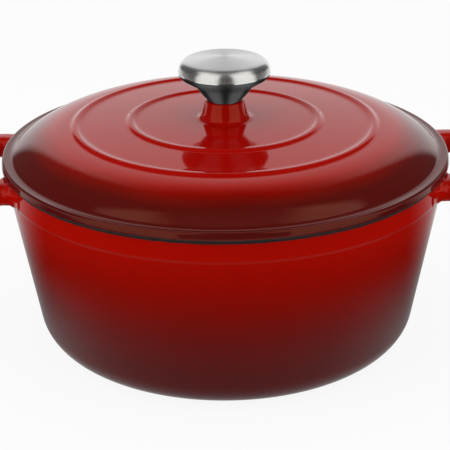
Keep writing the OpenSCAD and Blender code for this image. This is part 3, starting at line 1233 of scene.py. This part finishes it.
@dataclass(frozen=True)
class Knob:
    """The knob's head of two pressed shells, and its turned neck."""

    radius: float = 28.6
    widest: float = 172.0
    cap: float = 9.6
    cap_round: float = 7.5
    bowl: float = 162.7
    bowl_round: float = 4.6
    sheet: float = 1.0
    # Below this height the bowl takes the steel that is painted dark, a painted shade.
    polished_down_to: float = 171.2
    neck: float = 153.4
    neck_top: float = 17.7
    neck_foot: float = 10.1
    bow: float = 0.5
    spigot: float = 6.0
    collar: float = 1.6
    collar_height: float = 1.2
    bore: float = 3.1
    bore_depth: float = 9.5
    flare_parts: int = 24
    head_steps: int = 192
    neck_steps: int = 128

    def bowl_points(self, inset: float) -> list[Point]:
        """The bowl's outline from the widest line down to the neck, moved in by inset.

        Args:
            inset: how far inside the outer face.

        Returns:
            Radius and height of each point, in millimetres.
        """
        mid = (self.radius - self.bowl_round, self.widest)
        low = (self.neck_top, self.bowl)
        slope = (math.atan2(mid[1] - low[1], mid[0] - low[0])
                 - math.asin(self.bowl_round / math.dist(mid, low)))
        arc = sweep(mid, self.bowl_round - inset, 0, slope - QUARTER, step=0.35)
        shift = (1 - math.cos(slope)) / math.tan(slope) - math.sin(slope)
        end = (low[0] + inset * shift, low[1] + inset)
        return arc + run(arc[-1], end, step=0.8) + [end]

    def cap_points(self) -> list[Point]:
        """The cap's section, out over its top and back under it, one sheet thick.

        Returns:
            Radius and height of each point, in millimetres.
        """
        dome = Dome(self.cap, (self.radius - self.cap_round, 0.0), self.cap_round)
        outer = dome.crown_points(0, dome.crown * math.sin(dome.turn), step=1.0)
        inner_end = (dome.crown - self.sheet) * math.sin(dome.turn)
        inner = dome.crown_points(0, inner_end, step=1.5, inset=self.sheet)
        outer += dome.side_points(QUARTER, step=0.5)[1:]
        inner += dome.side_points(QUARTER, step=0.7, inset=self.sheet)[1:]
        return [(r, z + self.widest) for r, z in outer + inner[::-1]]

    def neck_points(self) -> list[Point]:
        """The neck's section: its hollow flare, the spigot, the swaged collar and the blind hole.

        Returns:
            Radius and height of each point, in millimetres.
        """
        foot, top = Vector((self.neck_foot, self.neck)), Vector((self.neck_top, self.bowl))
        along = (top - foot).normalized()
        hollow = 4 * self.bow * Vector((along.y, -along.x))
        flare = [tuple(foot + (top - foot) * share + hollow * share * (1 - share))
                 for share in spaced(0, 1, self.flare_parts)]
        lip, collar, end = self.bowl + self.sheet, self.spigot + self.collar, self.neck + self.bore_depth
        return [(self.bore, self.neck), *flare, (self.spigot, self.bowl), (self.spigot, lip), (collar, lip),
                (collar, lip + self.collar_height), (0, lip + self.collar_height), (0, end), (self.bore, end),
                (self.bore, self.neck)]

    def zone(self, centre: Vector, _: Vector) -> int:
        """Tells the bowl's polished edge (1) from its cone (0), whose brush-lined steel is painted dark: a
        painted shade for the dark reflections there.
        """
        return int(centre.z > self.polished_down_to)

    def build(self, finishes: Finishes) -> list[Piece]:
        """Turns the cap, the bowl and the neck, and mounts them in place of their nodes.

        Args:
            finishes: the oven's finishes.

        Returns:
            The cap, the bowl and the neck.
        """
        spigot = [(self.spigot, self.bowl), (self.spigot, self.bowl + self.sheet)]
        bowl_points = self.bowl_points(0) + spigot + self.bowl_points(self.sheet)[::-1]
        cap = turned("knob_cap_shell", self.cap_points(), self.head_steps)
        bowl = turned("knob_bowl_shell", bowl_points, self.head_steps)
        neck = turned("knob_neck_turned", self.neck_points(), self.neck_steps)
        # The bowl's cone and the neck wear the steel painted dark, a painted shade for their dark
        # reflections.
        for piece, look, slot, node in ((cap, finishes.satin, "satin_steel", "knob_cap"),
                                        (bowl, finishes.brushed, "polished_steel", "knob_bowl"),
                                        (neck, finishes.brushed, "brushed_steel", "knob_neck")):
            if piece is bowl:
                dress(piece, [look, finishes.polished], self.zone)
            else:
                dress(piece, [look])
            mount(piece, Body.LID, node, 28)
        return [cap, bowl, neck]


@dataclass(frozen=True)
class Screw:
    """The pan head screw: a crossed head below, and a shank with a rolled thread."""

    shank: float = 6.0
    core: float = 2.5
    pitch: float = 1.0
    thread: float = 8.2
    head: float = 12.0
    head_height: float = 3.6
    head_round: float = 1.6
    cross: float = 6.4
    slot: float = 1.4
    slot_depth: float = 1.8
    taper: float = 0.5
    slot_taper: float = 0.72
    steps: int = 96
    thread_steps: int = 48

    def outline(self, low: float, high: float, start: float) -> list[Point]:
        """The half section: the head, the shank, and the thread's core above start.

        Args:
            low: the height of the head's foot.
            high: the height of the shank's end.
            start: the height at which the thread starts.

        Returns:
            Radius and height of each point, in millimetres.
        """
        shoulder, radius, half = low + self.head_height, self.shank / 2, self.head / 2
        return rounded([
            (0, low), (half, low, self.head_round), (half, shoulder, 0.3), (radius, shoulder, 0.25),
            (radius, start, 0.2), (self.core, start + self.taper, 0.2), (self.core, high - self.taper, 0.1),
            (self.core - self.taper, high), (0, high)], step=0.3)

    def build(self, finishes: Finishes) -> Piece:
        """Turns the screw where its CAD node stands, cuts the cross and winds the thread.

        Args:
            finishes: the oven's finishes.

        Returns:
            The finished piece.
        """
        low, high = (corner.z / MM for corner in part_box("knob_screw"))
        start = high - self.thread
        screw = turned("knob_screw_turned", self.outline(low, high, start), self.steps)
        for turn in (0, QUARTER):
            cut(screw, self.slot_tool(low, turn))
        thread = self.wind(start + self.taper, high - self.taper)
        make_active(screw)
        thread.select_set(True)
        bpy.ops.object.join()
        dress(screw, [finishes.zinc])
        mount(screw, Body.LID, "knob_screw", 30)
        return screw

    def slot_tool(self, low: float, turn: float) -> Piece:
        """One arm of the cross, narrower at its bottom.

        Args:
            low: the height of the head's foot.
            turn: the arm's direction, in radians.

        Returns:
            The tool.
        """
        tool = started("cross", bpy.ops.mesh.primitive_cube_add, size=MM)
        with editing(tool):
            resize(self.cross, self.slot, 2 * self.slot_depth)
            move(0, 0, low)
            bpy.ops.transform.rotate(value=turn, orient_axis="Z", center_override=(0, 0, 0))
            select_where(tool, "vertices", lambda vertex: vertex.co.z > low * MM)
            resize(self.slot_taper, self.slot_taper, 1)
        return tool

    def wind(self, low: float, high: float) -> Piece:
        """The thread's ridge, wound up round the core between two heights.

        Args:
            low: the height of the thread's start.
            high: the height of its end.

        Returns:
            The ridge, a closed piece of its own.
        """
        root, crest, half = self.core - 0.05, self.shank / 2, self.pitch * 0.46
        ridge = started("thread", bpy.ops.mesh.primitive_circle_add, vertices=3, radius=MM,
                        fill_type="NOTHING", rotation=(0, QUARTER, -QUARTER))
        bpy.ops.object.transform_apply(location=False, rotation=True, scale=False)
        wide = (crest - root) / 1.5
        with editing(ridge):
            resize(wide, 1, half / math.cos(math.pi / 6))
            move(root + wide / 2, 0, low + half)
        modify(ridge, "SCREW", axis="Z", angle=TURN, iterations=int((high - low - 2 * half) / self.pitch),
               screw_offset=self.pitch * MM, steps=self.thread_steps, render_steps=self.thread_steps,
               use_merge_vertices=True, merge_threshold=1e-7)
        with editing(ridge):
            bpy.ops.mesh.fill_holes(sides=3)
            face_outwards()
        return ridge


@dataclass(frozen=True)
class Washers:
    """The gasket and the two washers, which keep their CAD solids."""

    gasket: str = "knob_gasket"
    plated: tuple[str, str] = ("spring_washer", "flat_washer")

    def build(self, finishes: Finishes) -> None:
        """Dresses the gasket, the split washer and the flat washer.

        Args:
            finishes: the oven's finishes.
        """
        self.dress_node(self.gasket, finishes.fibre)
        for name in self.plated:
            self.dress_node(name, finishes.zinc)

    def dress_node(self, name: str, look: Look) -> None:
        """Gives a CAD node a better material in every slot.

        Args:
            name: the node.
            look: its new material.
        """
        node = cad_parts[name]
        if not node.material_slots:
            node.data.materials.append(look)
        for slot in node.material_slots:
            slot.material = look
        LOG.info("%s keeps its CAD solid", name)


# The studio


@dataclass(frozen=True)
class Softbox:
    """A soft square lamp that looks at the oven and isn't mirrored in it. Sizes are metres and watts."""

    name: str
    place: Place
    size: float
    power: float
    aim: Place = (0.0, 0.0, 0.08)

    def hang(self) -> None:
        """Hangs the lamp at its place."""
        data = bpy.data.lights.new(self.name, "AREA")
        data.shape, data.size, data.energy = "SQUARE", self.size, self.power
        lamp = bpy.data.objects.new(self.name, data)
        bpy.context.collection.objects.link(lamp)
        lamp.location = self.place
        lamp.rotation_euler = (Vector(self.aim) - Vector(self.place)).to_track_quat("-Z", "Y").to_euler()
        lamp.visible_glossy = False


@dataclass(frozen=True)
class Studio:
    """Pale floor, plain soft light, white surroundings and the camera."""

    ambient: float = 0.66
    lens: float = 110.85
    distance: float = 896.0
    elevation: float = 23.3
    roll: float = -0.58
    target: Place = (-0.56, 0.0, 68.13)
    pale: float = 0.8
    black: float = 0.01
    lamps: tuple[Softbox, ...] = (Softbox("softbox_over", (-0.1, -0.1, 1.4), 2.2, 6.0),
                                  Softbox("softbox_left", (-1.3, -0.6, 0.7), 1.0, 7.0),
                                  Softbox("softbox_right", (1.3, -0.6, 0.7), 1.0, 5.5))
    # How bright the wall behind the oven is in reflections, by the sine of the angle above the floor.
    drop: tuple[Point, ...] = ((0.0, 1.3), (0.17, 1.25), (0.34, 1.13), (0.45, 1.08), (0.6, 0.92), (0.68, 0.7),
                               (0.79, 0.28), (0.87, 0.03))
    cool: Colour = (0.785, 0.79, 0.82)
    warm: Colour = (0.8, 0.795, 0.78)

    def build(self) -> None:
        """Sets up everything round the object."""
        bpy.context.scene.view_settings.view_transform = "Standard"
        self.floor()
        self.world()
        self.flag()
        for lamp in self.lamps:
            lamp.hang()
        self.camera()

    def floor(self) -> None:
        """A plain pale floor, white to the camera and to reflections, and clear from below."""
        floor = started("floor", bpy.ops.mesh.primitive_plane_add, size=14)
        material, g = new_material("pale_floor")
        rays = g.node("LightPath").outputs
        seen = g.most(rays["Is Camera Ray"], rays["Is Glossy Ray"], rays["Is Transmission Ray"])
        shade = g.node("BsdfDiffuse", Color=opaque((self.pale,) * 3)).outputs[0]
        glow = g.node("Emission", Color=opaque((1, 1, 1)), Strength=1.0).outputs[0]
        clear = g.node("BsdfTransparent").outputs[0]
        above = g.layered(g.times(seen, 0.9), shade, glow)
        g.end(g.layered(g.node("NewGeometry").outputs["Backfacing"], above, clear))
        dress(floor, [material])

    def flag(self) -> None:
        """A black cloth on the floor in front and beside the oven, that only reflections see."""
        cloth = started("black_flag", bpy.ops.mesh.primitive_plane_add, size=3, location=(0, 0, 0.0006))
        material, g = new_material("black_cloth")
        place = g.place()
        y = g.split(place)[1]
        bare = g.times(g.ease(g.radius(place), 0.12, 0.215, (0.55, 0)), g.ease(y, -0.1, 0.0, (1, 0.5)))
        cover = g.times(g.minus(1.0, bare), g.ease(y, 0.26, -0.02))
        shade = g.node("BsdfDiffuse", Color=opaque((self.black,) * 3)).outputs[0]
        g.end(g.layered(cover, g.node("BsdfTransparent").outputs[0], shade))
        dress(cloth, [material])
        for ray in ("camera", "diffuse", "shadow", "transmission", "volume_scatter"):
            setattr(cloth, "visible_" + ray, False)

    def world(self) -> None:
        """White to the camera, even light for matt surfaces, and a studio's walls for glossy ones."""
        world = bpy.data.worlds.new("studio")
        bpy.context.scene.world = world
        world.cycles.sampling_method = "NONE"
        g = Graph(world)
        rays = g.node("LightPath").outputs
        glossy, (x, y, z) = rays["Is Glossy Ray"], g.split(g.node("TexCoord").outputs["Generated"])
        level = g.most(g.level(x, y), 0.001)
        ahead = g.math("DIVIDE", g.plus(y, g.times(x, 0.035)), level)
        walls = self.walls(g, z, ahead, g.math("DIVIDE", g.minus(y, g.times(x, 0.07)), level))
        over = g.times(g.math("MULTIPLY_ADD", y, -1.0, 0.2, clamp=True), g.ease(z, 0.9, 0.98))
        patch = g.times(g.ease(ahead, 0.84, 0.96), g.ease(z, 0.7, 0.8))
        rest = g.times(g.minus(1.0, g.times(patch, 0.7)), 0.1)
        lit = g.blend(glossy, self.ambient, g.most(walls, over, rest), Mixed.NUMBER)
        strength = g.most(lit, rays["Is Camera Ray"], rays["Is Transmission Ray"])
        hue = g.blend(g.ease(ahead, 0.8, 0.9), opaque(self.warm), opaque(self.cool))
        hue = g.blend(glossy, opaque((1, 1, 1)), hue)
        g.end(g.node("Background", Color=hue, Strength=strength).outputs[0], "World")

    def walls(self, g: Graph, z: Socket, ahead: Socket, turn: Socket) -> Socket:
        """The bright walls that glossy surfaces mirror.

        Args:
            g: the world's graph.
            z: the sine of the angle above the floor.
            ahead: 1 straight behind the oven, -1 on the camera's side.
            turn: the same, turned a little, for the side walls.

        Returns:
            The strength of the wall behind and of the soft boxes at the sides, with dark gaps between them.
        """
        back = g.times(g.ease(ahead, 0.845, 0.9), g.ramp(z, [(at, (share,) * 3) for at, share in self.drop]))
        past = g.minus(turn, g.ease(z, 0.6, 0.8, (-0.18, 0.32)))
        gap = g.minus(turn, g.ease(z, 0.02, 0.3, (0.06, 0)))
        side = g.times(g.ease(past, 0.12, -0.16), g.ease(gap, -0.97, -0.94))
        return g.most(back, g.times(side, g.ease(z, 0.99, 0.9), 1.35))

    def camera(self) -> None:
        """The camera, in front of the oven and above it."""
        data = bpy.data.cameras.new("camera")
        data.lens, data.sensor_width = self.lens, 36.0
        data.clip_start, data.clip_end = 0.01, 50
        camera = bpy.data.objects.new("camera", data)
        bpy.context.collection.objects.link(camera)
        rise = math.radians(self.elevation)
        away = Vector((0, -math.cos(rise), math.sin(rise))) * self.distance
        turn = Matrix.Rotation(QUARTER - rise, 4, "X") @ Matrix.Rotation(math.radians(self.roll), 4, "Z")
        camera.matrix_world = Matrix.Translation((Vector(self.target) + away) * MM) @ turn
        bpy.context.scene.camera = camera


def main() -> None:
    """Builds and dresses the whole oven."""
    logging.basicConfig(level=logging.INFO, format="%(name)s: %(message)s")
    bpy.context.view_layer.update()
    finishes = Finishes.build()
    for part in (PotShell(), LoopHandle(), LidCasting(), Knob(), Screw(), Washers()):
        part.build(finishes)
    Studio().build()


if __name__ == "__main__":
    main()
